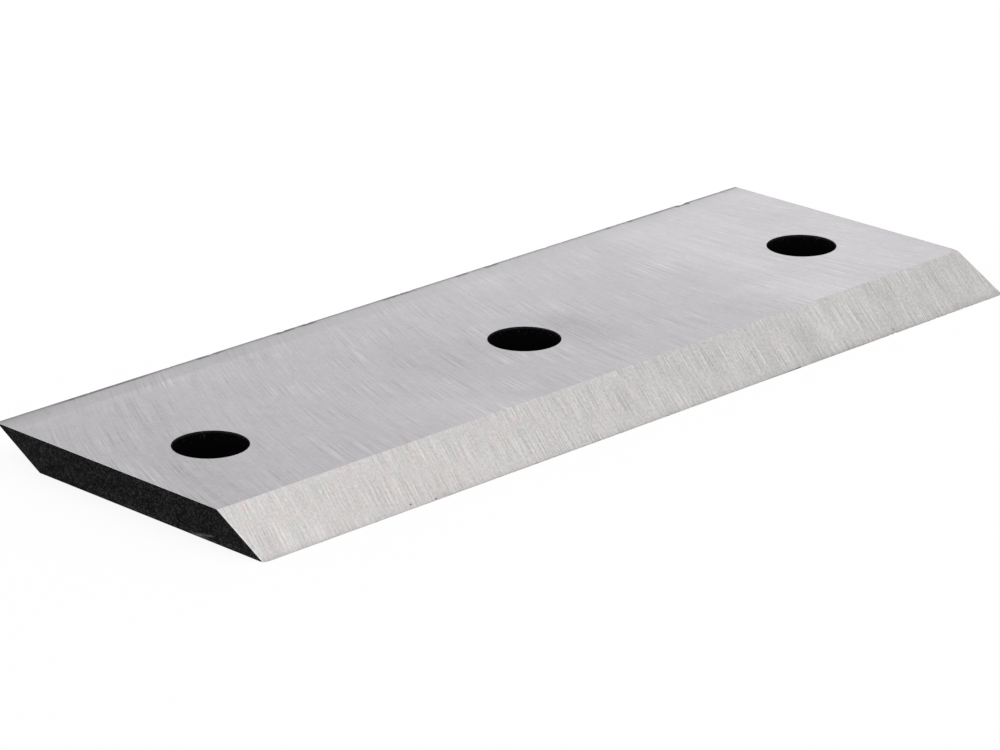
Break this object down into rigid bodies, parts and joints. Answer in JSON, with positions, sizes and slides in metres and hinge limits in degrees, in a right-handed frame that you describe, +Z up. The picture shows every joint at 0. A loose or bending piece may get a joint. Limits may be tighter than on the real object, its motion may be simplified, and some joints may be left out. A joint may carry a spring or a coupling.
{
  "type": "chipper shredder blade",
  "caption": "Flat reversible steel blade with a parallelogram section, a bevelled cutting edge along each long side and a centred row of plain bolt holes.",
  "frame": {"origin": "on the bottom face in the middle of the blade, on the middle bolt hole's axis", "axes": "+X along the blade and its cutting edges, +Y towards the side whose cutting edge is at the top, +Z up through the thickness"},
  "size_m": [0.1906, 0.0698, 0.0063],
  "materials": {
    "ground_steel": "ground bright on the flat faces and bevels, left black from heat treatment on the ends and in the holes"
  },
  "bodies": {
    "root": {"blade": "ground_steel"}
  },
  "joints": []
}
